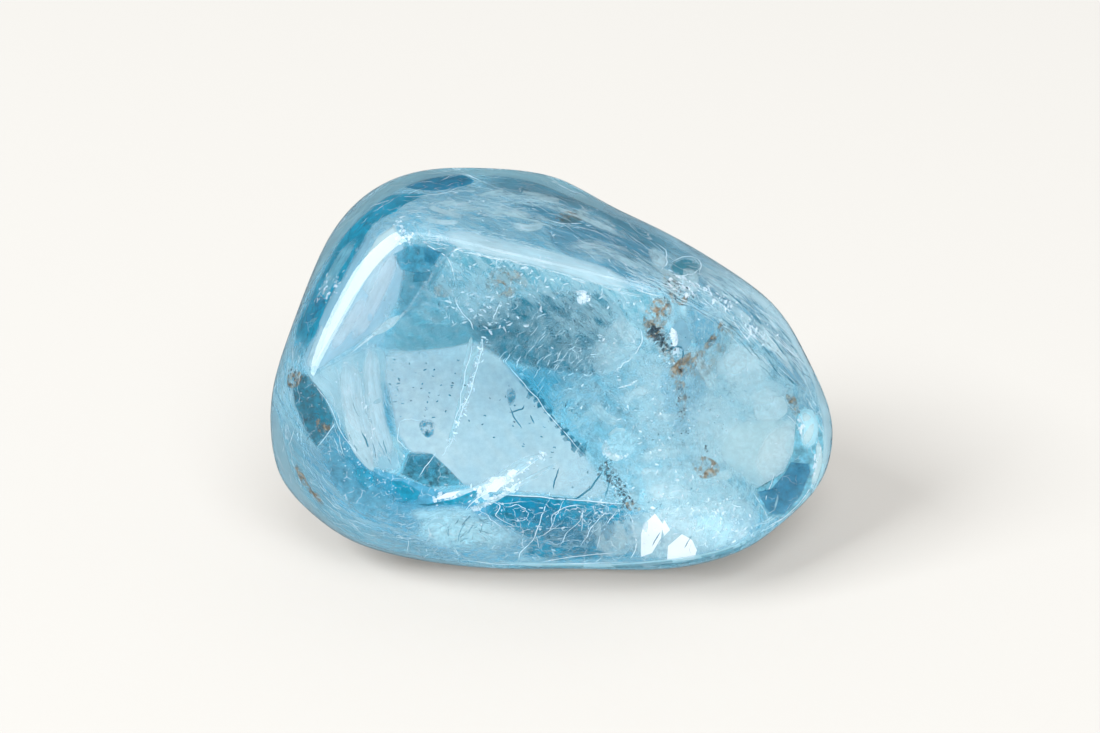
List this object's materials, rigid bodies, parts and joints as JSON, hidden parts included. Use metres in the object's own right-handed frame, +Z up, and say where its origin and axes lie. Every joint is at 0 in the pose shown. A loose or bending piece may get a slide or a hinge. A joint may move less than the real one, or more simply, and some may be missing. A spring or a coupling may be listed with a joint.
{
  "type": "blue topaz tumbled stone",
  "caption": "Clear pale blue topaz pebble, tumbled smooth, with natural inner fractures and rust stains, resting on its flat underside.",
  "frame": {"origin": "on the flat resting face, straight below the core of the stone", "axes": "+Z up from the resting face, +X along the stone from its thick end to its tapered end, +Y towards the back"},
  "size_m": [0.0401, 0.0295, 0.0273],
  "materials": {
    "topaz": "tumbled and polished, clear, IOR 1.62"
  },
  "bodies": {
    "root": {"blue_topaz": "topaz"}
  },
  "joints": []
}
